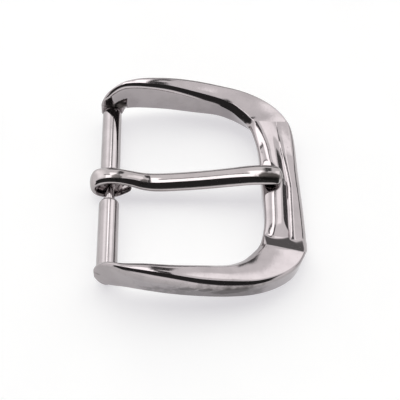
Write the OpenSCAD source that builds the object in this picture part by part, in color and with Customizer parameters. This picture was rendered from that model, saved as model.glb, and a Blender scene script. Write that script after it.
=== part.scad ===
// Belt buckle with a cast D-shaped frame, a strap bar between its two lugs
// and a bent prong, hooked round the bar's neck, that turns on it.
// It lies on a surface at z = 0, with its front end toward +X and its mid-plane at y = 0.

/* [Frame] */
// Clear length of the strap bar between the two arms
clear_w = 40; // [38:0.5:42]
// Length of the whole buckle, from the prong's eye to the front end
buckle_l = 41.4; // [40:0.1:43]
// Height of the arms' outer edges above the surface at their highest place
arm_top = 9.32; // [9:0.02:9.6]
// Steepness of the slope that leads from the far shoulder down to the front bar
far_ramp = 0.21; // [0.18:0.01:0.3]
// Steepness of the same slope at the near shoulder
near_ramp = 0.4; // [0.3:0.01:0.5]

/* [Front bar] */
// Height of the inner roll's crest above the surface
roll_z = 4.8; // [4.6:0.05:5]
// Slope of the roll's flank toward the crease
flank = 0.95; // [0.8:0.05:1.1]
// Slope of the rail's outer face
rail_face = 0.5; // [0.4:0.02:0.6]
// Height of the lowest line of the notch that takes the prong's tip
notch_z = 4.3; // [4.2:0.02:4.4]
// Half width of the notch at the roll's crest
notch_half_w = 3.4; // [3.2:0.1:4]

/* [Strap bar] */
// Diameter of the strap bar
bar_d = 3.9; // [3.7:0.05:4]
// Height of the strap bar's axis above the surface
bar_z = 2.48; // [2.42:0.02:2.54]
// Diameter of the neck that the prong's eye hangs on
neck_d = 2.16; // [1.9:0.02:2.2]
// Length of the neck between its two rounded shoulders
neck_l = 6.4; // [6.2:0.1:6.8]
// Gap between each end of the bar and the lug that it stands against
seat_gap = 0.06; // [0.04:0.01:0.1]

/* [Prong] */
// How far the prong stands to one side of the mid-plane, near the end of the neck
prong_y = 1.15; // [0:0.05:1.2]
// Width of the bevel along each edge of the prong
bevel = 0.85; // [0.7:0.05:1]

/* [Hidden] */

half_w = clear_w / 2;
// How far the prong's eye reaches behind the strap bar's axis
eye_reach = 3.83;
bar_x = eye_reach - buckle_l / 2;

// The tables below are for this reach from the bar's axis to the front end, and this height.
// For another length, all that lies in front of still_x is stretched.
table_reach = 37.57;
table_top = 9.32;
still_x = 5;
stretch = (buckle_l - eye_reach - still_x) / (table_reach - still_x);
function along(x) = x < still_x ? x : still_x + (x - still_x) * stretch;

// Lugs under the ends of the arms, curved like a V in side view and touching the surface
lug_top_z = 4.5;
lug_curve = 0.52;
lug_t = 0.28;
lug_step = 0.25;

// Frame sections from one end of an arm to the middle of the front bar, a row each.
// x is measured from the strap bar's axis, and y from the face of the lug.
//   XO YO    top outer edge          XI YI   top inner edge
//   ZO ZI    heights of both edges   CR      crown between them
//   ZB       underside
//   LO LI    how far the foot of the outer and of the inner wall is set in
//   RO FO    rounding of the outer edge, across and down
//   RI FI    rounding of the inner edge, across and down
XO = 0; YO = 1; XI = 2; YI = 3; ZO = 4; ZI = 5; CR = 6; ZB = 7;
LO = 8; LI = 9; RO = 10; FO = 11; RI = 12; FI = 13;
ARM = [
    //  XO     YO     XI     YI    ZO    ZI    CR    ZB    LO    LI    RO    FO    RI    FI
    [ -2.20,  0.30, -2.20,  0.08, 4.90, 4.90, 0.02, 3.90, 0.00, 0.00, 0.10, 0.12, 0.10, 0.12],
    [ -1.90,  0.55, -1.95,  0.06, 5.80, 5.75, 0.05, 3.00, 0.03, 0.03, 0.25, 0.30, 0.20, 0.24],
    [ -1.05,  1.00, -1.20,  0.06, 7.40, 6.80, 0.10, 2.20, 0.10, 0.05, 0.45, 0.54, 0.35, 0.42],
    [  0.20,  1.60,  0.00,  0.12, 8.55, 7.60, 0.20, 1.80, 0.20, 0.00, 0.60, 0.72, 0.45, 0.54],
    [  1.70,  2.40,  1.60,  0.75, 9.15, 8.50, 0.30, 2.20, 0.40, 0.00, 0.85, 0.95, 0.60, 0.54],
    [  3.40,  3.20,  3.30,  1.15, 9.32, 8.95, 0.35, 2.70, 0.65, 0.00, 1.10, 1.15, 0.80, 0.55],
    [  6.50,  4.15,  6.50,  1.20, 9.28, 9.10, 0.40, 2.90, 0.85,-0.10, 1.40, 1.40, 1.00, 0.65],
    [ 11.50,  4.85, 11.50,  1.05, 8.85, 8.50, 0.42, 2.70, 0.85,-0.10, 1.45, 1.40, 1.00, 0.70],
    [ 17.00,  5.20, 16.80,  0.40, 7.85, 7.50, 0.42, 2.45, 0.85, 0.00, 1.45, 1.40, 1.00, 0.70],
    [ 22.50,  4.75, 21.50, -0.30, 6.88, 6.50, 0.36, 1.80, 0.70, 0.60, 1.30, 1.25, 1.00, 0.75],
    [ 27.30,  3.70, 24.30, -1.50, 6.12, 6.10, 0.24, 1.10, 0.60, 1.20, 0.85, 0.90, 1.15, 0.95],
    [ 31.40,  1.80, 25.95, -2.95, 5.50, 5.90, 0.18, 0.50, 0.50, 2.00, 0.60, 0.70, 1.25, 1.10],
    [ 34.50, -0.75, 27.00, -4.10, 4.92, 5.78, 0.14, 0.12, 0.35, 2.60, 0.50, 0.60, 1.30, 1.15],
    [ 36.35, -3.80, 27.75, -5.10, 4.56, 5.66, 0.10, 0.00, 0.30, 2.60, 0.50, 0.60, 1.35, 1.20],
];
// Front bar sections, where YO and YI are distances from the mid-plane
FRONT = [
    [ 37.30, 13.40, 28.60, 12.60, 4.30, 4.60, 0.00, 0.00, 0.40, 1.40, 1.10, 1.30, 0.70, 0.80],
    [ 37.55,  8.00, 29.45,  8.00, 4.20, 4.60, 0.00, 0.00, 0.45, 0.50, 1.10, 1.30, 0.40, 0.50],
    [ 37.57,  0.00, 29.55,  0.00, 4.20, 4.60, 0.00, 0.00, 0.45, 0.35, 1.10, 1.30, 0.40, 0.50],
];

// Prong sections from the tip of its hooked end round the neck to the free tip, a row each.
// PX and PZ are the middle of the section, PX from the strap bar's axis and PZ from the surface,
// and PR is 0 for a bevelled section and 1 for an oval one.
PX = 0; PZ = 1; PT = 2; PW = 3; PR = 4;
PRONG = [
    //  PX     PZ  thick width round
    [  4.20,  2.36, 0.30, 2.20, 0.6],
    [  3.95,  2.22, 0.60, 3.00, 0.6],
    [  3.00,  1.65, 0.90, 3.40, 0.6],
    [  1.40,  0.88, 1.05, 3.60, 0.7],
    [ -0.40,  0.66, 1.08, 3.70, 0.8],
    [ -2.00,  1.12, 1.20, 3.80, 0.9],
    [ -2.98,  2.15, 1.38, 3.90, 1.0],
    [ -3.05,  3.50, 1.50, 3.95, 1.0],
    [ -2.20,  4.58, 1.72, 3.95, 0.9],
    [ -0.30,  4.97, 1.92, 3.85, 0.5],
    [  2.00,  4.80, 2.00, 3.80, 0.1],
    [  4.30,  4.16, 2.25, 3.90, 0.0],
    [  6.60,  3.40, 2.45, 4.25, 0.0],
    [  9.20,  3.12, 2.60, 4.45, 0.0],
    [ 13.20,  3.40, 2.70, 4.50, 0.0],
    [ 18.00,  3.98, 2.72, 4.55, 0.0],
    [ 23.00,  4.80, 2.70, 4.60, 0.0],
    [ 27.00,  5.50, 2.55, 4.75, 0.0],
    [ 30.00,  5.72, 2.40, 4.80, 0.0],
    [ 32.20,  5.62, 2.25, 4.50, 0.2],
    [ 33.00,  5.38, 1.70, 3.50, 0.6],
    [ 33.28,  5.22, 0.90, 1.90, 1.0],
];

function mix(a, b, f) = a + (b - a) * f;
function clamp(v, lo, hi) = min(max(v, lo), hi);

// Smooth curve through the rows of a table at place t, where row i is at t = i
function smooth_row(rows, t) =
    let (
        last = len(rows) - 1,
        i = clamp(floor(t), 0, last - 1),
        f = t - i,
        a = rows[max(i - 1, 0)],
        b = rows[i],
        c = rows[i + 1],
        d = rows[min(i + 2, last)]
    )
    0.5 * (2 * b + (c - a) * f + (2 * a - 5 * b + 4 * c - d) * f * f
        + (3 * b - a - 3 * c + d) * f * f * f);

// Heights above the lug's top follow arm_top, less and less toward the front bar
lift_ends_x = 30;
function lifted(z, x) =
    let (
        share_z = clamp((z - lug_top_z) / (table_top - lug_top_z), 0, 1),
        share_x = clamp(1 - x / lift_ends_x, 0, 1)
    )
    z + (arm_top - table_top) * share_z * share_x;

// Table rows at the buckle's own size, for the far half and then for its mirror image
function placed_row(r, side) = [
    for (c = [XO:FI])
        c == XO || c == XI ? along(r[c])
        : c == YO || c == YI ? r[c] + side
        : c == ZO || c == ZI ? lifted(r[c], r[XO])
        : r[c]
];
function mirror_row(r) = [for (c = [XO:FI]) c == YO || c == YI ? -r[c] : r[c]];
HALF = [for (r = ARM) placed_row(r, half_w), for (r = FRONT) placed_row(r, 0)];
MIDDLE = len(HALF) - 1;
FRAME = [for (r = HALF) r, for (i = [MIDDLE - 1:-1:0]) mirror_row(HALF[i])];
SHOULDER = len(ARM) - 1;

// Front bar's relief: an inner roll with a flank down to a crease, then an outer rail.
// Both lines lie nearer the strap bar by a part of the distance from the mid-plane, and beyond
// bend_at the roll bends inward, climbs to the far shoulder and sinks toward the near one.
roll_at = 31.85;
roll_shift = 0.06;
roll_curve = 0.135;
flank_at = 1.8;
bend_at = 8;
roll_bend = 0.03;
far_climb = 0.012;
near_climb = -0.02;
crease_at = 34.5;
crease_shift = 0.055;
notch_y = 1.7;
notch_fan = 0.8;
rail_steep = 0.5;
rail_steep_w = 0.28;
rail_gentle = 0.09;
rail_gentle_w = 0.72;
function roll_x(y) = along(roll_at) - roll_shift * abs(y);
function crease_x(y) = along(crease_at) - crease_shift * abs(y);
function roll_top(x, y) =
    let (
        beyond = max(abs(y) - bend_at, 0),
        crest_x = roll_x(y) - roll_bend * beyond * beyond,
        crest_z = roll_z + (y > 0 ? far_climb : near_climb) * beyond * beyond
    )
    crest_z - roll_curve * pow(x - crest_x, 2);
function crease_z(y) =
    let (flank_w = crease_x(y) - roll_x(y) - flank_at)
    roll_z - roll_curve * pow(flank_at, 2) - flank * flank_w;
function notch_top(x, y) =
    notch_z
    + (roll_z - notch_z) * pow((y - notch_y) / (notch_half_w + notch_fan * max(roll_x(y) - x, 0)), 2);
// The rail rises steeply, then gently, and its outer face slopes down
function rail_top(x, y) =
    let (out = x - crease_x(y), steep_rise = rail_steep * rail_steep_w)
    crease_z(y) + min(
        rail_steep * out,
        steep_rise + rail_gentle * (out - rail_steep_w),
        steep_rise + rail_gentle * rail_gentle_w - rail_face * (out - rail_steep_w - rail_gentle_w)
    );
function front_top(x, y) =
    x > crease_x(y)
        ? rail_top(x, y)
        : min(roll_top(x, y), crease_z(y) + flank * (crease_x(y) - x), notch_top(x, y));

// Slope from the shoulder's edge down to the front bar. That edge is the crowned line between
// the two edges of the last arm section.
edge = HALF[SHOULDER];
function ramp(x, y) =
    let (f = (x - edge[XI]) / (edge[XO] - edge[XI]))
    mix(edge[ZI], edge[ZO], f) + edge[CR] * 4 * clamp(f, 0, 1) * clamp(1 - f, 0, 1)
        - (y > 0 ? far_ramp : near_ramp) * (mix(edge[YI], edge[YO], f) - abs(y));

// Points across a section: the part from the outer edge to the crease, then on to the inner edge
outer_steps = 4;
inner_steps = 7;
corner_steps = 4;
arm_crease = 0.41;
foot_round = 0.45;
function across(crease_part) = [
    for (i = [1:outer_steps]) crease_part * i / outer_steps,
    for (i = [1:inner_steps - 1]) mix(crease_part, 1, i / inner_steps)
];

// Height of the lug's underside at x, which is lowest under the strap bar's axis
function lug_z(x) = lug_curve * x * x;

// One section of the frame at place t, as points round it from the foot of the outer wall
function frame_ring(t) =
    let (
        r = smooth_row(FRAME, t),
        on_front = t > SHOULDER && t < 2 * MIDDLE - SHOULDER,
        a = [r[XO], r[YO]],
        b = [r[XI], r[YI]],
        w = norm(b - a),
        under = max(0, r[ZB]),
        top = function(v)
            let (p = mix(a, b, v / w))
            on_front
                ? max(front_top(p[0], p[1]), ramp(p[0], p[1]))
                : mix(r[ZO], r[ZI], v / w) + r[CR] * 4 * v * (w - v) / (w * w),
        at = function(v, z) [mix(a[0], b[0], v / w), mix(a[1], b[1], v / w), z],
        crease_part = on_front ? (r[XO] - crease_x(r[YO])) / (r[XO] - r[XI]) : arm_crease,
        round_out = min(r[RO], w * 0.42),
        round_in = min(r[RI], w * 0.4),
        foot = min(foot_round, (r[ZO] - under) / 4, w / 4),
        has_lug = lug_z(r[XI]) < lug_top_z && abs(r[YI]) > half_w,
        // A lug's face stands at half_w, inside the arm's inner wall
        set_in = has_lug ? half_w - abs(r[YI]) : r[LI],
        lug_foot = has_lug ? lug_z(r[XI]) : under,
        lug_top = min(lug_top_z, r[ZI] - 0.5),
        wall_top = top(w) - r[FI],
        wall_foot = lug_foot + foot / 2,
        lug_in = min(lug_t, w / 3),
        under_in = min(w - set_in - lug_in - min(lug_step, w / 5), w - foot / 2)
    )
    [
        at(r[LO] + foot, under),
        at(r[LO], under + foot),
        for (i = [0:corner_steps - 1])
            let (u = 90 * i / corner_steps, v = round_out * (1 - cos(u)))
            at(v, top(v) - r[FO] * (1 - sin(u))),
        for (f = across(crease_part))
            let (share = clamp((f * w - round_out) / (w - round_out - round_in), 0, 1))
            let (v = mix(round_out, w - round_in, share))
            at(v, top(v)),
        for (i = [0:corner_steps])
            let (u = 90 * i / corner_steps, v = w - round_in * (1 - sin(u)))
            at(v, top(v) - r[FI] * (1 - cos(u))),
        has_lug ? at(w, lug_top + lug_step) : at(w - set_in / 3, mix(wall_top, wall_foot, 1 / 3)),
        has_lug ? at(w - set_in, lug_top) : at(w - set_in * 2 / 3, mix(wall_top, wall_foot, 2 / 3)),
        at(w - set_in, wall_foot),
        at(w - set_in - foot / 2, lug_foot),
        at(w - set_in - lug_in, lug_foot),
        at(under_in, under),
    ];

// Closed skin over a row of rings that have the same number of points
module skin(rings) {
    n = len(rings[0]);
    last = len(rings) - 1;
    polyhedron(
        points = [for (ring = rings) each ring],
        faces = [
            [for (k = [0:n - 1]) k],
            [for (k = [n - 1:-1:0]) last * n + k],
            for (i = [0:last - 1], k = [0:n - 1])
                let (a = i * n + k, b = i * n + (k + 1) % n)
                each [[a, a + n, b], [b, a + n, b + n]],
        ],
        convexity = 8
    );
}

// Bar's axis, with its own z along the real y axis
module on_bar_axis() {
    translate([bar_x, 0, bar_z]) rotate([90, 0, 0]) children();
}

module frame() {
    lug_rows = 5;
    lug_steps = 4;
    arm_steps = 2;
    shoulder_steps = 6;
    // More sections at the lug, and where the slopes meet the front bar
    places = [
        for (i = [0:lug_rows * lug_steps - 1]) i / lug_steps,
        for (i = [lug_rows * arm_steps:SHOULDER * arm_steps - 1]) i / arm_steps,
        for (i = [0:shoulder_steps - 1]) SHOULDER + i / shoulder_steps,
        for (i = [0:3]) SHOULDER + 1 + i / 4,
        for (i = [0:shoulder_steps]) SHOULDER + 2 + i / shoulder_steps,
    ];
    mirrored = [for (i = [len(places) - 2:-1:0]) 2 * MIDDLE - places[i]];
    color("#8d8688")
    translate([bar_x, 0, 0])
        skin([for (t = concat(places, mirrored)) frame_ring(t)]);
}

module strap_bar() {
    bar_r = bar_d / 2;
    neck_r = neck_d / 2;
    bar_end = half_w - seat_gap;
    edge_cut = 0.2;
    shoulder_l = bar_r - neck_r;
    // One half of the outline from the neck to the end of the bar
    half = [
        [neck_r, neck_l / 2],
        for (u = [15:15:90]) [neck_r + shoulder_l * sin(u), neck_l / 2 + shoulder_l * (1 - cos(u))],
        [bar_r, bar_end - edge_cut],
        [bar_r - edge_cut, bar_end],
    ];
    mirrored = [for (i = [len(half) - 1:-1:0]) [half[i][0], -half[i][1]]];
    color("#a39d9c")
    on_bar_axis()
        rotate_extrude($fn = 64)
            polygon(concat([[0, -bar_end]], mirrored, half, [[0, bar_end]]));
}

// Reach of the prong's outline in one direction, as a multiple of an oval's of the same size:
// 1 for an oval section, and more toward the corners of a bevelled one
function prong_reach(p, u) =
    let (
        half_t = p[PT] / 2,
        side = p[PW] / 2,
        up = abs(cos(u)),
        out = abs(sin(u)),
        slant = (up * half_t + out * side) / (half_t + side - min(bevel, half_t * 0.8))
    )
    mix(1 / max(up, out, slant), 1, clamp(p[PR], 0, 1));

// One section of the prong at place t, square across its path
function prong_ring(t) =
    let (
        p = smooth_row(PRONG, t),
        step = 0.02,
        last = len(PRONG) - 1,
        q = smooth_row(PRONG, min(t + step, last)) - smooth_row(PRONG, max(t - step, 0)),
        path = [q[PX], q[PZ]] / norm([q[PX], q[PZ]]),
        sides = 24
    )
    [
        for (k = [0:sides - 1])
            let (
                u = 360 * (k + 0.5) / sides,
                s = prong_reach(p, u) * cos(u) * p[PT] / 2,
                y = prong_reach(p, u) * sin(u) * p[PW] / 2
            )
            [along(p[PX] - path[1] * s), prong_y - y, p[PZ] + path[0] * s]
    ];

module prong() {
    steps_per_row = 2;
    last = (len(PRONG) - 1) * steps_per_row;
    color("#97908f")
    translate([bar_x, 0, 0])
        skin([for (i = [0:last]) prong_ring(i / steps_per_row)]);
}

frame();
strap_bar();
prong();
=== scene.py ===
# Polished looks of a cast belt buckle with a hooked prong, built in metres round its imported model.
import math

import bmesh
import bpy
from mathutils import Matrix, Vector


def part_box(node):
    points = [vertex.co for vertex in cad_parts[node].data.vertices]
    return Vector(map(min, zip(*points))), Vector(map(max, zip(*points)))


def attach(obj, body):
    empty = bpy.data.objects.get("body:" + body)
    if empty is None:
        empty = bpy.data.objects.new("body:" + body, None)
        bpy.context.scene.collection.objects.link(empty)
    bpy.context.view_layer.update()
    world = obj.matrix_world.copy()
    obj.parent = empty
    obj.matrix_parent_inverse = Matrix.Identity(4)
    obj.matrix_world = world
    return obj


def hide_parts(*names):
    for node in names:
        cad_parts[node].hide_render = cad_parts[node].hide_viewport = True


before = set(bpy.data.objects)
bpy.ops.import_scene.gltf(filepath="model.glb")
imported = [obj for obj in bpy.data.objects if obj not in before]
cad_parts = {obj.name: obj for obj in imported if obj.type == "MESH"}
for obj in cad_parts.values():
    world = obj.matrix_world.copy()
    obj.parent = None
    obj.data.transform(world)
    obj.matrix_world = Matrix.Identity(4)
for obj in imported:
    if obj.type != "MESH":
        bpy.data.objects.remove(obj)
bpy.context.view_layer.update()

# Sizes are written in millimetres, and MM turns them into Blender's metres
MM = 0.001


def node_box(node):
    """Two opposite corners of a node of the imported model, in millimetres."""
    low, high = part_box(node)
    return [c / MM for c in low], [c / MM for c in high]


# Places and sizes of the strap bar and the prong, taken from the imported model. SEAT_GAP lies between
# an end of the bar and its lug, and HALF_W is where the face of a lug is.
BAR_LOW, BAR_HIGH = node_box("strap_bar")
BAR_X = (BAR_LOW[0] + BAR_HIGH[0]) / 2
BAR_Z = (BAR_LOW[2] + BAR_HIGH[2]) / 2
BAR_R = (BAR_HIGH[0] - BAR_LOW[0]) / 2
BAR_END = BAR_HIGH[1]
SEAT_GAP = 0.06
HALF_W = BAR_END + SEAT_GAP
PRONG_LOW, PRONG_HIGH = node_box("prong")
PRONG_Y = (PRONG_LOW[1] + PRONG_HIGH[1]) / 2

# Frame sections from the end of an arm to its shoulder, a row each.
# x is measured from the strap bar's axis, and y from the face of the lug.
#   XO YO    top outer edge          XI YI   top inner edge
#   ZO ZI    heights of both edges   CR      crown between them
#   ZB       underside
#   LO LI    how far the foot of the outer and of the inner wall is set in
#   RO FO    rounding of the outer edge, across and down
#   RI FI    rounding of the inner edge, across and down
XO, YO, XI, YI, ZO, ZI, CR, ZB, LO, LI, RO, FO, RI, FI = range(14)
ARM = [
    # XO     YO     XI     YI    ZO    ZI    CR    ZB    LO     LI     RO    FO    RI    FI
    (-2.20, 0.30, -2.20, 0.08, 4.90, 4.90, 0.02, 3.90, 0.00, 0.00, 0.10, 0.12, 0.10, 0.12),
    (-1.90, 0.55, -1.95, 0.06, 5.80, 5.75, 0.05, 3.00, 0.03, 0.03, 0.25, 0.30, 0.20, 0.24),
    (-1.05, 1.00, -1.20, 0.06, 7.40, 6.80, 0.10, 2.20, 0.10, 0.05, 0.45, 0.54, 0.35, 0.42),
    (0.20, 1.60, 0.00, 0.12, 8.55, 7.60, 0.20, 1.80, 0.20, 0.00, 0.60, 0.72, 0.45, 0.54),
    (1.70, 2.40, 1.60, 0.75, 9.15, 8.50, 0.30, 2.20, 0.40, 0.00, 0.85, 0.95, 0.60, 0.54),
    (3.40, 3.20, 3.30, 1.15, 9.32, 8.95, 0.35, 2.70, 0.65, 0.00, 1.10, 1.15, 0.80, 0.55),
    (6.50, 4.15, 6.50, 1.20, 9.28, 9.10, 0.40, 2.90, 0.85, -0.10, 1.40, 1.40, 1.00, 0.65),
    (11.50, 4.85, 11.50, 1.05, 8.85, 8.50, 0.42, 2.70, 0.85, -0.10, 1.45, 1.40, 1.00, 0.70),
    (17.00, 5.20, 16.80, 0.40, 7.85, 7.50, 0.42, 2.45, 0.85, 0.00, 1.45, 1.40, 1.00, 0.70),
    (22.50, 4.75, 21.50, -0.30, 6.88, 6.50, 0.36, 1.80, 0.70, 0.60, 1.30, 1.25, 1.00, 0.75),
    (27.30, 3.70, 24.30, -1.50, 6.12, 6.10, 0.24, 1.10, 0.60, 1.20, 0.85, 0.90, 1.15, 0.95),
    (31.40, 1.80, 25.95, -2.95, 5.50, 5.90, 0.18, 0.50, 0.50, 2.00, 0.60, 0.70, 1.25, 1.10),
    (34.50, -0.75, 27.00, -4.10, 4.92, 5.78, 0.14, 0.12, 0.35, 2.60, 0.50, 0.60, 1.30, 1.15),
    (36.35, -3.80, 27.75, -5.10, 4.56, 5.66, 0.10, 0.00, 0.30, 2.60, 0.50, 0.60, 1.35, 1.20),
]
# Front bar sections from the shoulder to the middle, where YO and YI are distances from the
# mid-plane
FRONT = [
    (37.30, 13.40, 28.60, 12.60, 4.30, 4.60, 0.00, 0.00, 0.40, 1.40, 1.10, 1.30, 0.70, 0.80),
    (37.55, 8.00, 29.45, 8.00, 4.20, 4.60, 0.00, 0.00, 0.45, 0.50, 1.10, 1.30, 0.40, 0.50),
    (37.57, 0.00, 29.55, 0.00, 4.20, 4.60, 0.00, 0.00, 0.45, 0.35, 1.10, 1.30, 0.40, 0.50),
]

# Prong sections from the tip of its hooked end round the neck to the free tip, a row each.
# PX and PZ are the middle of the section, PX from the strap bar's axis and PZ from the surface,
# and PR is 0 for a bevelled section and 1 for an oval one.
PX, PZ, PT, PW, PR = range(5)
PRONG = [
    # PX    PZ   thick  width  round
    (4.20, 2.36, 0.30, 2.20, 0.6),
    (3.95, 2.22, 0.60, 3.00, 0.6),
    (3.00, 1.65, 0.90, 3.40, 0.6),
    (1.40, 0.88, 1.05, 3.60, 0.7),
    (-0.40, 0.66, 1.08, 3.70, 0.8),
    (-2.00, 1.12, 1.20, 3.80, 0.9),
    (-2.98, 2.15, 1.38, 3.90, 1.0),
    (-3.05, 3.50, 1.50, 3.95, 1.0),
    (-2.20, 4.58, 1.72, 3.95, 0.9),
    (-0.30, 4.97, 1.92, 3.85, 0.5),
    (2.00, 4.80, 2.00, 3.80, 0.1),
    (4.30, 4.16, 2.25, 3.90, 0.0),
    (6.60, 3.40, 2.45, 4.25, 0.0),
    (9.20, 3.12, 2.60, 4.45, 0.0),
    (13.20, 3.40, 2.70, 4.50, 0.0),
    (18.00, 3.98, 2.72, 4.55, 0.0),
    (23.00, 4.80, 2.70, 4.60, 0.0),
    (27.00, 5.50, 2.55, 4.75, 0.0),
    (30.00, 5.72, 2.40, 4.80, 0.0),
    (32.20, 5.62, 2.25, 4.50, 0.2),
    (33.00, 5.38, 1.70, 3.50, 0.6),
    (33.28, 5.22, 0.90, 1.90, 1.0),
]
# Width of a bevel, its largest share of the half thickness, and the softness of its edges
BEVEL = 1.25
BEVEL_MOST = 0.92
BEVEL_BLEND = 0.22
# The bevelled sections are slightly crowned on top, about a line near their middle
CROWN = 0.030
CROWN_AT = -0.1

# Neck of the strap bar, and the cut at the edge of each of its ends
NECK_R = 1.08
NECK_HALF = 3.2
END_CUT = 0.2

# Lugs: height of the ledge on top, its least depth below the arm's inner edge, the height of the
# outline over the square of the distance from the bar's axis, the width of the foot, and the height
# and run of the slopes by which the lug meets the arm
LUG_TOP_Z = 4.5
LUG_BELOW_EDGE = 0.5
LUG_CURVE = 0.52
LUG_T = 0.28
LUG_STEP = 0.25

# Rounding at the foot of the outer wall
FOOT = 0.45
# The roundings of the outer and of the inner edge take at most these shares of the width
OUTER_MOST = 0.42
INNER_MOST = 0.4

# Relief of the front bar: a roll with a notch, a crease, and a rail with a slanted outer face.
# Each place along x is given at the mid-plane, with its shift for each millimetre to the side.
ROLL_X = (31.85, -0.06)
ROLL_Z = 4.8
ROLL_CURVE = 0.135
# The roll's outer flank is a steeper plane from this far beyond its crest
FLANK_AT = 1.60
FLANK = 0.80
# Beyond this distance from the mid-plane the roll bends inward, climbs to the far shoulder
# and sinks toward the near one
BEND_AT = 8.0
ROLL_BEND = 0.03
FAR_CLIMB = 0.012
NEAR_CLIMB = -0.020
CREASE_X = (34.50, -0.055)
# The rail's inner side is a short steep face and a wide gentle one, each a width and a slope
RAIL_STEEP = (0.28, 0.50)
RAIL_GENTLE = (0.72, 0.02)
RAIL_FACE = 0.50
NOTCH_Z = 4.3
NOTCH_Y = 1.7
NOTCH_HALF_W = 3.4
# How fast the notch widens toward the opening
NOTCH_FAN = 0.8
# How steeply the slopes at the far and the near shoulder run down to the front bar
FAR_RAMP = 0.21
NEAR_RAMP = 0.40
# How softly two faces of the relief run into each other, and a slope into the front bar. The
# softness of a slope grows from nothing at the mid-plane to this at BEND_AT.
RELIEF_BLEND = 0.10
RAIL_BLEND = 0.04
FAR_RAMP_BLEND = 0.80
NEAR_RAMP_BLEND = 0.25


def mix(a, b, part):
    return a + (b - a) * part


def clamp(value, low, high):
    return min(max(value, low), high)


def soft_max(a, b, blend):
    return (a + b + math.sqrt((a - b) ** 2 + blend * blend)) / 2


def soft_min(a, b, blend):
    return -soft_max(-a, -b, blend)


def smooth_row(rows, place):
    """A table's row at a place between its rows, on a smooth curve through them."""
    last = len(rows) - 1
    i = int(clamp(math.floor(place), 0, last - 1))
    f = place - i
    near = (rows[max(i - 1, 0)], rows[i], rows[i + 1], rows[min(i + 2, last)])
    return [
        0.5 * (2 * b + (c - a) * f
               + (2 * a - 5 * b + 4 * c - d) * f * f
               + (3 * b - a - 3 * c + d) * f ** 3)
        for a, b, c, d in zip(*near)
    ]


def placed_row(row, side):
    """A row with its YO and YI moved out to one side."""
    return [v + side if column in (YO, YI) else v for column, v in enumerate(row)]


def mirror_row(row):
    """The same section on the other side of the mid-plane."""
    return [-v if column in (YO, YI) else v for column, v in enumerate(row)]


HALF_ROWS = [placed_row(row, HALF_W) for row in ARM] + [placed_row(row, 0) for row in FRONT]
MIDDLE = len(HALF_ROWS) - 1
SHOULDER = len(ARM) - 1
FRAME_ROWS = HALF_ROWS + [mirror_row(row) for row in HALF_ROWS[-2::-1]]


def beside(place, y):
    """A place along x, given at the mid-plane and shifted with the distance from it."""
    return place[0] + place[1] * abs(y)


def front_top(x, y):
    """Height of the front bar: an inner roll with a notch, a crease and an outer rail."""
    crease_x = beside(CREASE_X, y)
    beyond = max(abs(y) - BEND_AT, 0)
    roll_x = beside(ROLL_X, y) - ROLL_BEND * beyond ** 2
    roll_z = ROLL_Z + (FAR_CLIMB if y > 0 else NEAR_CLIMB) * beyond ** 2
    flank_z = ROLL_Z - ROLL_CURVE * FLANK_AT ** 2
    crease_z = flank_z - FLANK * (crease_x - beside(ROLL_X, y) - FLANK_AT)
    if x > crease_x:
        (steep_w, steep), (gentle_w, gentle) = RAIL_STEEP, RAIL_GENTLE
        steep_face = crease_z + steep * (x - crease_x)
        gentle_face = crease_z + steep * steep_w + gentle * (x - crease_x - steep_w)
        ridge_z = crease_z + steep * steep_w + gentle * gentle_w
        outer_face = ridge_z - RAIL_FACE * (x - crease_x - steep_w - gentle_w)
        return soft_min(soft_min(steep_face, gentle_face, RAIL_BLEND), outer_face, RAIL_BLEND)
    crest = roll_z - ROLL_CURVE * (x - roll_x) ** 2
    flank = crease_z + FLANK * (crease_x - x)
    notch_half_w = NOTCH_HALF_W + NOTCH_FAN * max(roll_x - x, 0)
    notch = NOTCH_Z + (ROLL_Z - NOTCH_Z) * ((y - NOTCH_Y) / notch_half_w) ** 2
    return soft_min(soft_min(crest, flank, RELIEF_BLEND), notch, RELIEF_BLEND)


def ramp(x, y):
    """Height of the slope that leads from a shoulder's straight edge down to the front bar."""
    edge = HALF_ROWS[SHOULDER]
    part = (x - edge[XI]) / (edge[XO] - edge[XI])
    top = mix(edge[ZI], edge[ZO], part) + edge[CR] * 4 * clamp(part, 0, 1) * clamp(1 - part, 0, 1)
    slope = FAR_RAMP if y > 0 else NEAR_RAMP
    return top - slope * (mix(edge[YI], edge[YO], part) - abs(y))


# Steps round one section: at the foot, up a wall, round an edge, and over the top on each side of
# the mesh line that follows the crease. On an arm, ARM_CREASE of the width lies outside that line.
FOOT_STEPS = 4
WALL_STEPS = 6
CORNER_STEPS = 9
OUTER_STEPS = 40
INNER_STEPS = 44
ARM_CREASE = 0.41
# Toward a shoulder the inner edge changes from a rounding to a flat cut, between these two places
# along the arm and by this share. Beyond the shoulder it changes back.
CUT_FROM, CUT_TO = 6.5, 8.5
CUT_SHARE = 0.85


def across(crease_part):
    """Shares of the width from the outer edge to the inner one, with one right on the crease."""
    outer = [crease_part * i / OUTER_STEPS for i in range(1, OUTER_STEPS + 1)]
    return outer + [mix(crease_part, 1, i / INNER_STEPS) for i in range(1, INNER_STEPS)]


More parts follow.
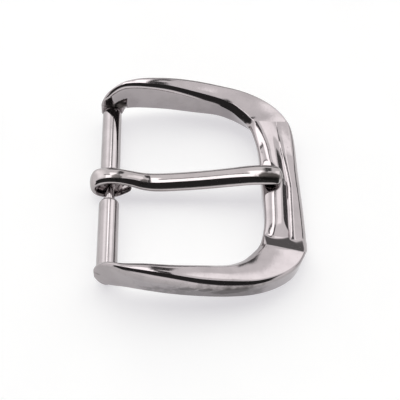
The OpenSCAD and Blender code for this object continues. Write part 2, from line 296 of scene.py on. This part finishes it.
def frame_ring(place):
    """One section of the frame, as points round it from the foot of the outer wall."""
    row = smooth_row(FRAME_ROWS, place)
    on_front = SHOULDER < place < 2 * MIDDLE - SHOULDER
    outer = Vector((row[XO], row[YO]))
    inner = Vector((row[XI], row[YI]))
    width = (inner - outer).length
    under = max(0, row[ZB])

    def at(v, z):
        spot = outer.lerp(inner, v / width)
        return (spot.x, spot.y, z)

    def top(v):
        if on_front:
            x, y = outer.lerp(inner, v / width)
            blend = FAR_RAMP_BLEND if y > 0 else NEAR_RAMP_BLEND
            return soft_max(front_top(x, y), ramp(x, y), blend * min(abs(y) / BEND_AT, 1))
        part = clamp(v / width, 0, 1)
        return mix(row[ZO], row[ZI], part) + row[CR] * 4 * part * (1 - part)

    crease_part = ARM_CREASE
    if on_front:
        crease_part = (row[XO] - beside(CREASE_X, row[YO])) / (row[XO] - row[XI])
    foot = min(FOOT, (row[ZO] - under) / 4, width / 4)
    has_lug = LUG_CURVE * row[XI] ** 2 < LUG_TOP_Z and abs(row[YI]) > HALF_W
    set_in = HALF_W - abs(row[YI]) if has_lug else row[LI]
    lug_foot = LUG_CURVE * row[XI] ** 2 if has_lug else under
    lug_top = min(LUG_TOP_Z, row[ZI] - LUG_BELOW_EDGE)
    lug_in = min(LUG_T, width / 3)
    under_in = min(width - set_in - lug_in - min(LUG_STEP, width / 5), width - foot / 2)
    radius_out, radius_in = min(row[RO], width * OUTER_MOST), min(row[RI], width * INNER_MOST)
    from_end = min(place, 2 * MIDDLE - place)
    cut = CUT_SHARE * clamp((from_end - CUT_FROM) / (CUT_TO - CUT_FROM), 0, 1)
    cut *= clamp(SHOULDER + 1 - from_end, 0, 1)

    ring = [at(row[LO] + foot * (1 - math.sin(u)), under + foot * (1 - math.cos(u)))
            for u in [math.pi / 2 * i / FOOT_STEPS for i in range(FOOT_STEPS + 1)]]
    wall_top = top(0) - row[FO]
    ring += [at(mix(row[LO], 0, i / WALL_STEPS), mix(under + foot, wall_top, i / WALL_STEPS))
             for i in range(1, WALL_STEPS)]
    for i in range(CORNER_STEPS):
        u = math.pi / 2 * i / CORNER_STEPS
        v = radius_out * (1 - math.cos(u))
        ring.append(at(v, top(v) - row[FO] * (1 - math.sin(u))))
    for part in across(crease_part):
        share = clamp((part * width - radius_out) / (width - radius_out - radius_in), 0, 1)
        v = mix(radius_out, width - radius_in, share)
        ring.append(at(v, top(v)))
    for i in range(CORNER_STEPS + 1):
        u = math.pi / 2 * i / CORNER_STEPS
        out = mix(1 - math.sin(u), 1 - i / CORNER_STEPS, cut)
        down = mix(1 - math.cos(u), i / CORNER_STEPS, cut)
        v = width - radius_in * out
        ring.append(at(v, top(v) - row[FI] * down))
    wall_top, wall_foot = top(width) - row[FI], lug_foot + foot / 2
    if has_lug:
        shares = [i / WALL_STEPS for i in range(WALL_STEPS + 1)]
        ring += [at(width, mix(wall_top, lug_top + LUG_STEP, share)) for share in shares[1:]]
        ring += [at(width - set_in, mix(lug_top, wall_foot, share)) for share in shares]
    else:
        steps = 2 * WALL_STEPS + 1
        shares = [i / steps for i in range(1, steps + 1)]
        ring += [at(width - set_in * share, mix(wall_top, wall_foot, share)) for share in shares]
    ring.append(at(width - set_in - foot / 2, lug_foot))
    ring.append(at(width - set_in - lug_in, lug_foot))
    ring.append(at(under_in, under))
    return [(BAR_X + x, y, z) for x, y, z in ring]


# Stretches of a half of the frame, a row each: first row, last row, sections from row to row
STRETCHES = [
    (0, SHOULDER - 1, 12),
    (SHOULDER - 1, SHOULDER, 16),
    (SHOULDER, SHOULDER + 1, 40),
    (SHOULDER + 1, SHOULDER + 2, 24),
    (SHOULDER + 2, MIDDLE, 36),
]


def frame_places():
    """Places of the frame's sections, closer together from the shoulders on."""
    half = []
    for start, end, steps in STRETCHES:
        half += [start + i / steps for i in range((end - start) * steps)]
    return half + [MIDDLE] + [2 * MIDDLE - place for place in reversed(half)]


# Points nearer than this are one point, and edges that turn by more than this many degrees are sharp
SAME_POINT = 1e-4
SHARP_ANGLE = 50


def skin(name, rings):
    """A closed smooth mesh over a row of rings that have the same number of points."""
    count = len(rings[0])
    last = len(rings) - 1
    points = [Vector(p) * MM for ring in rings for p in ring]
    faces = [list(range(count)), [last * count + k for k in range(count - 1, -1, -1)]]
    for i in range(last):
        for k in range(count):
            a, b = i * count + k, i * count + (k + 1) % count
            faces.append([a, a + count, b + count, b])
    mesh = bpy.data.meshes.new(name)
    mesh.from_pydata(points, [], faces)
    skinned = bmesh.new()
    skinned.from_mesh(mesh)
    bmesh.ops.remove_doubles(skinned, verts=skinned.verts, dist=SAME_POINT * MM)
    bmesh.ops.recalc_face_normals(skinned, faces=skinned.faces)
    skinned.to_mesh(mesh)
    skinned.free()
    mesh.shade_smooth()
    mesh.set_sharp_from_angle(angle=math.radians(SHARP_ANGLE))
    piece = bpy.data.objects.new(name, mesh)
    bpy.context.scene.collection.objects.link(piece)
    return piece


def build_frame():
    return skin("frame_casting", [frame_ring(place) for place in frame_places()])


# Points round a section of the bar and of the prong
SIDES = 96


def build_strap_bar():
    """The bar turned about its own axis, with a neck between two rounded shoulders."""
    shoulder = BAR_R - NECK_R
    neck_steps = 8
    round_steps = 16
    side_steps = 24
    half = [(NECK_R, NECK_HALF * i / neck_steps) for i in range(1, neck_steps + 1)]
    for i in range(1, round_steps + 1):
        u = math.pi / 2 * i / round_steps
        half.append((NECK_R + shoulder * math.sin(u), NECK_HALF + shoulder * (1 - math.cos(u))))
    start = half[-1][1]
    half += [(BAR_R, mix(start, BAR_END - END_CUT, i / side_steps))
             for i in range(1, side_steps + 1)]
    end_face = [(BAR_R - END_CUT, BAR_END), (BAR_R / 3, BAR_END)]
    half += end_face
    outline = [(r, -y) for r, y in reversed(half)] + [(NECK_R, 0)] + half
    rings = []
    for r, y in outline:
        turns = [2 * math.pi * k / SIDES for k in range(SIDES)]
        rings.append([(BAR_X + r * math.cos(u), y, BAR_Z + r * math.sin(u)) for u in turns])
    return skin("strap_bar_turning", rings)


def prong_outline(row, turn):
    """How far the outline reaches in one direction from its middle, where an oval reaches 1."""
    up, out = abs(math.cos(turn)), abs(math.sin(turn))
    half_t, half_w = row[PT] / 2, row[PW] / 2
    bevel = min(BEVEL, half_t * BEVEL_MOST)
    slant = (up * half_t + out * half_w) / (half_t + half_w - bevel)
    flats = soft_max(soft_max(up, out, BEVEL_BLEND), slant, BEVEL_BLEND)
    return mix(1 / flats, 1, clamp(row[PR], 0, 1))


def prong_ring(place):
    """One section of the prong, square across its path."""
    row = smooth_row(PRONG, place)
    step = 0.02
    last = len(PRONG) - 1
    ahead = smooth_row(PRONG, min(place + step, last))
    behind = smooth_row(PRONG, max(place - step, 0))
    path = Vector((ahead[PX] - behind[PX], ahead[PZ] - behind[PZ])).normalized()
    # Measured against the reach straight up and straight out, so that the softened edges take
    # nothing from the thickness and the width
    tallest = prong_outline(row, 0)
    widest = prong_outline(row, math.pi / 2)
    ring = []
    for k in range(SIDES):
        turn = 2 * math.pi * (k + 0.5) / SIDES
        reach = prong_outline(row, turn)
        s = reach / tallest * math.cos(turn) * row[PT] / 2
        y = -reach / widest * math.sin(turn) * row[PW] / 2
        if s > 0:
            s -= CROWN * clamp(1 - row[PR], 0, 1) * (y - CROWN_AT) ** 2 * min(s, 1)
        ring.append((BAR_X + row[PX] - path.y * s, PRONG_Y + y, row[PZ] + path.x * s))
    return ring


def build_prong():
    steps = 12
    last = len(PRONG) - 1
    return skin("prong_bent", [prong_ring(i / steps) for i in range(last * steps + 1)])


class Value:
    """One output of a node, which can stand in a sum or difference, or first in a product."""

    def __init__(self, tree, socket):
        self.tree = tree
        self.socket = socket

    def other(self, output):
        """Another output of the same node."""
        return Value(self.tree, self.socket.node.outputs[output])

    def _math(self, operation, first, second):
        return self.tree.add("ShaderNodeMath", {"operation": operation}, {0: first, 1: second})

    def __add__(self, other):
        return self._math("ADD", self, other)

    def __radd__(self, other):
        return self._math("ADD", other, self)

    def __sub__(self, other):
        return self._math("SUBTRACT", self, other)

    def __rsub__(self, other):
        return self._math("SUBTRACT", other, self)

    def __mul__(self, other):
        return self._math("MULTIPLY", self, other)


class Tree:
    """A node tree in which one method adds any node."""

    def __init__(self, owner):
        owner.use_nodes = True
        self.nodes = owner.node_tree.nodes
        self.links = owner.node_tree.links
        self.nodes.clear()

    def add(self, kind, settings=None, sockets=None, output=0):
        """Adds a node, sets its settings, then the values or links of its sockets."""
        node = self.nodes.new(kind)
        for name, setting in (settings or {}).items():
            setattr(node, name, setting)
        for name, value in (sockets or {}).items():
            if isinstance(value, Value):
                self.links.new(value.socket, node.inputs[name])
            else:
                node.inputs[name].default_value = value
        return Value(self, node.outputs[output]) if node.outputs else None

    def range(self, value, low, high):
        """A smooth step of a value, from 0 at low to 1 at high."""
        return self.add("ShaderNodeMapRange", {"interpolation_type": "SMOOTHSTEP"},
                        {0: value, 1: low, 2: high})

    def blend(self, part, first, second):
        """A mix of two colours."""
        return self.add("ShaderNodeMix", {"data_type": "RGBA"}, {0: part, 6: first, 7: second}, 2)


# Base colour of the plate on each piece
FRAME_COLOUR = (0.41, 0.378, 0.384)
BAR_COLOUR = (0.425, 0.395, 0.40)
PRONG_COLOUR = (0.42, 0.39, 0.39)

# Dark patches in the plate, a row each: place, with x from the strap bar's axis, reach each way, depth.
# The frame's rows are painted shade and painted dark reflections.
FRAME_PAINTED_SHADE = [
    # Painted reflection of the shaded floor: the near outer wall darker toward its foot
    ((24.0, -25.6, 2.2), (34.0, 3.4, 6.6), 0.54),
    # Painted dark reflections of the buckle's shadow, in patches along the near outer wall
    ((22.3, -24.7, 4.9), (4.6, 2.0, 1.6), 0.62),
    ((17.4, -25.2, 6.0), (1.7, 2.0, 0.9), 0.55),
    ((14.2, -25.2, 6.2), (2.1, 2.0, 0.9), 0.55),
    # Painted shade on each lug, round the place where an end of the strap bar sits
    ((0.6, 20.4, 4.5), (3.2, 0.8, 0.75), 0.90),
    ((0.6, -20.4, 4.5), (3.2, 0.8, 0.75), 0.90),
]
# Dark patches in the prong's plate, in the same form
PRONG_DARK_PATCHES = [
    ((30.6, -0.10, 6.7), (3.0, 1.25, 1.0), 0.96),
    ((6.6, 0.1, 4.5), (1.2, 0.8, 0.7), 0.80),
    ((1.3, 0.2, 5.7), (1.3, 0.9, 0.9), 0.80),
]

# Colours of a dark patch, which on the frame is painted shade, and of a speck, the colour's share that
# tarnish leaves, and the roughness of the clean plate
DARK_PATCH_COLOUR = (0.055, 0.048, 0.045, 1)
SPECK = (0.10, 0.09, 0.09, 1)
TARNISH = 0.86
POLISH = 0.055


def gunmetal(name, base, dark_patches):
    """Dark nickel plate over a polished casting, with orange peel, specks, tarnish and dark patches,
    which on the frame are painted shade.
    """
    material = bpy.data.materials.new(name)
    tree = Tree(material)
    place = tree.add("ShaderNodeTexCoord", output=3)

    def noise(scale, detail):
        return tree.add("ShaderNodeTexNoise", {}, {"Vector": place, "Scale": scale, "Detail": detail})

    cloud = noise(220.0, 3.0)
    peel = noise(1500.0, 2.0)
    ragged = noise(700.0, 3.0)
    specks = tree.range(noise(3800.0, 1.0), 0.70, 0.78)
    tarnish = tree.range(cloud, 0.35, 0.75)
    plate = tree.blend(tarnish, (*base, 1), (*(c * TARNISH for c in base), 1))
    rough = POLISH + cloud * 0.05 + specks * 0.2
    # Each dark patch darkens the plate; the frame's patches are painted shade and painted dark
    # reflections
    for (x, y, z), (reach_x, reach_y, reach_z), depth in dark_patches:
        from_dark_patch = tree.add("ShaderNodeMapping", {"vector_type": "TEXTURE"}, {
            "Vector": place, "Location": ((BAR_X + x) * MM, y * MM, z * MM),
            "Scale": (reach_x * MM, reach_y * MM, reach_z * MM)})
        away = tree.add("ShaderNodeVectorMath", {"operation": "LENGTH"}, {0: from_dark_patch}, 1)
        dark_patch = tree.range(away + ragged * 0.8, 1.35, 0.95)
        plate = tree.blend(dark_patch * depth, plate, DARK_PATCH_COLOUR)
        rough = rough + dark_patch * (depth * 0.25)
    colour = tree.blend(specks * 0.35, plate, SPECK)
    bump = tree.add("ShaderNodeBump", {}, {"Strength": 0.22, "Distance": 0.00002,
                                           "Height": peel + ragged * 0.5})
    shader = tree.add("ShaderNodeBsdfPrincipled", {}, {"Base Color": colour, "Metallic": 1.0,
                                                       "Roughness": rough, "Normal": bump})
    tree.add("ShaderNodeOutputMaterial", {}, {"Surface": shader})
    return material


def finish_piece(piece, body, node, material):
    """Joins a piece to its body, lets it stand for a node of the model, and gives it its plate."""
    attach(piece, body)
    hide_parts(node)
    piece.data.materials.append(material)


# Camera, set as the photograph was taken
CAMERA_AT = Vector((-9.974, -101.056, 131.479))
CAMERA_AIM = Vector((0.5755, -3.0365, 3.0))
CAMERA_ROLL = math.radians(5.2)
CAMERA_LENS = 75.62
SENSOR = 36.0


def place_camera():
    """A camera that is turned from its level pose toward its aim, then rolled."""
    data = bpy.data.cameras.new("camera")
    data.lens = CAMERA_LENS
    data.sensor_width = SENSOR
    data.clip_start = 0.01
    data.clip_end = 10
    camera = bpy.data.objects.new("camera", data)
    back = (CAMERA_AT - CAMERA_AIM).normalized()
    right = Vector((0, 0, 1)).cross(back).normalized()
    up = back.cross(right)
    turn = Matrix((right, up, back)).transposed().to_4x4()
    roll = Matrix.Rotation(CAMERA_ROLL, 4, "Z")
    camera.matrix_world = Matrix.Translation(CAMERA_AT * MM) @ turn @ roll
    bpy.context.scene.collection.objects.link(camera)
    bpy.context.scene.camera = camera


# The studio's brightness all round, what the camera sees of it behind the floor, and the shares of
# green and blue in its light against red
SURROUND = 1.25
BACKDROP = 1.0
GREEN, BLUE = 0.985, 0.99
# Patches of other brightness, a row each: range of the direction's x, y and z, softness of the edges,
# brightness. Later rows lie over earlier ones.
STUDIO = [
    ((-0.62, -0.30), (0.20, 0.90), (0.00, 1.10), 0.14, 1.9),
    ((-0.24, -0.04), (-0.03, 0.46), (0.00, 1.10), 0.02, 2.8),
    ((-0.06, 0.14), (-0.03, 0.66), (0.00, 1.10), 0.03, 2.8),
    ((-0.30, -0.05), (0.46, 0.51), (0.00, 1.10), 0.01, 0.12),
    ((0.365, 0.66), (0.41, 0.675), (0.20, 1.10), 0.025, 2.0),
    ((0.14, 0.19), (-0.10, 0.85), (0.00, 1.10), 0.02, 0.08),
    ((0.18, 0.255), (-0.10, 0.43), (0.00, 1.10), 0.02, 0.08),
    ((0.18, 0.255), (0.61, 0.82), (0.00, 1.10), 0.02, 0.08),
    ((0.72, 1.10), (-0.10, 0.85), (-0.10, 0.20), 0.04, 0.10),
    ((-0.10, 0.90), (0.86, 1.10), (-0.10, 0.33), 0.05, 0.20),
    ((-0.85, 0.80), (-0.87, -0.04), (0.00, 1.10), 0.04, 0.04),
]


def lay_floor():
    """A pale floor that glows a little, as paper that is lit from behind does."""
    mesh = bpy.data.meshes.new("floor")
    reach = 1.2
    corners = [(-reach, -reach, 0), (reach, -reach, 0), (reach, reach, 0), (-reach, reach, 0)]
    mesh.from_pydata(corners, [], [(0, 1, 2, 3)])
    floor = bpy.data.objects.new("floor", mesh)
    bpy.context.scene.collection.objects.link(floor)
    material = bpy.data.materials.new("pale_floor")
    tree = Tree(material)
    place = tree.add("ShaderNodeTexCoord", output=3)
    grain = tree.add("ShaderNodeTexNoise", {}, {"Vector": place, "Scale": 60.0, "Detail": 2.0})
    paper = tree.blend(grain, (0.49, 0.51, 0.465, 1), (0.52, 0.54, 0.495, 1))
    glow = tree.blend(grain, (0.94, 0.92, 0.98, 1), (0.97, 0.95, 1.00, 1))
    shader = tree.add("ShaderNodeBsdfPrincipled", {}, {
        "Base Color": paper, "Roughness": 0.9, "Emission Color": glow, "Emission Strength": 0.58})
    tree.add("ShaderNodeOutputMaterial", {}, {"Surface": shader})
    mesh.materials.append(material)


def light_studio():
    """Soft white surroundings with the patches of STUDIO, which the polished metal reflects."""
    world = bpy.data.worlds.new("studio")
    bpy.context.scene.world = world
    tree = Tree(world)
    way = tree.add("ShaderNodeTexCoord")
    x = tree.add("ShaderNodeSeparateXYZ", {}, {0: way})
    y, z = x.other(1), x.other(2)

    def within(value, low, high, soft):
        return tree.range(value, low - soft, low + soft) * tree.range(value, high + soft, high - soft)

    def patch(x_range, y_range, z_range, soft):
        return within(x, *x_range, soft) * within(y, *y_range, soft) * within(z, *z_range, soft)

    light = SURROUND
    for x_range, y_range, z_range, soft, brightness in STUDIO:
        light = light + patch(x_range, y_range, z_range, soft) * (brightness - light)
    seen = tree.add("ShaderNodeLightPath")
    light = light + seen * (BACKDROP - light)
    colour = tree.add("ShaderNodeCombineXYZ", {}, {0: light, 1: light * GREEN, 2: light * BLUE})
    tree.add("ShaderNodeOutputWorld", {}, {"Surface": tree.add("ShaderNodeBackground", {}, {0: colour})})


def make_scene():
    bpy.context.scene.view_settings.view_transform = "Standard"
    frame_plate = gunmetal("frame_plate", FRAME_COLOUR, FRAME_PAINTED_SHADE)
    bar_plate = gunmetal("bar_plate", BAR_COLOUR, [])
    prong_plate = gunmetal("prong_plate", PRONG_COLOUR, PRONG_DARK_PATCHES)
    finish_piece(build_frame(), "frame", "frame", frame_plate)
    finish_piece(build_strap_bar(), "frame", "strap_bar", bar_plate)
    finish_piece(build_prong(), "prong", "prong", prong_plate)
    lay_floor()
    light_studio()
    place_camera()


make_scene()
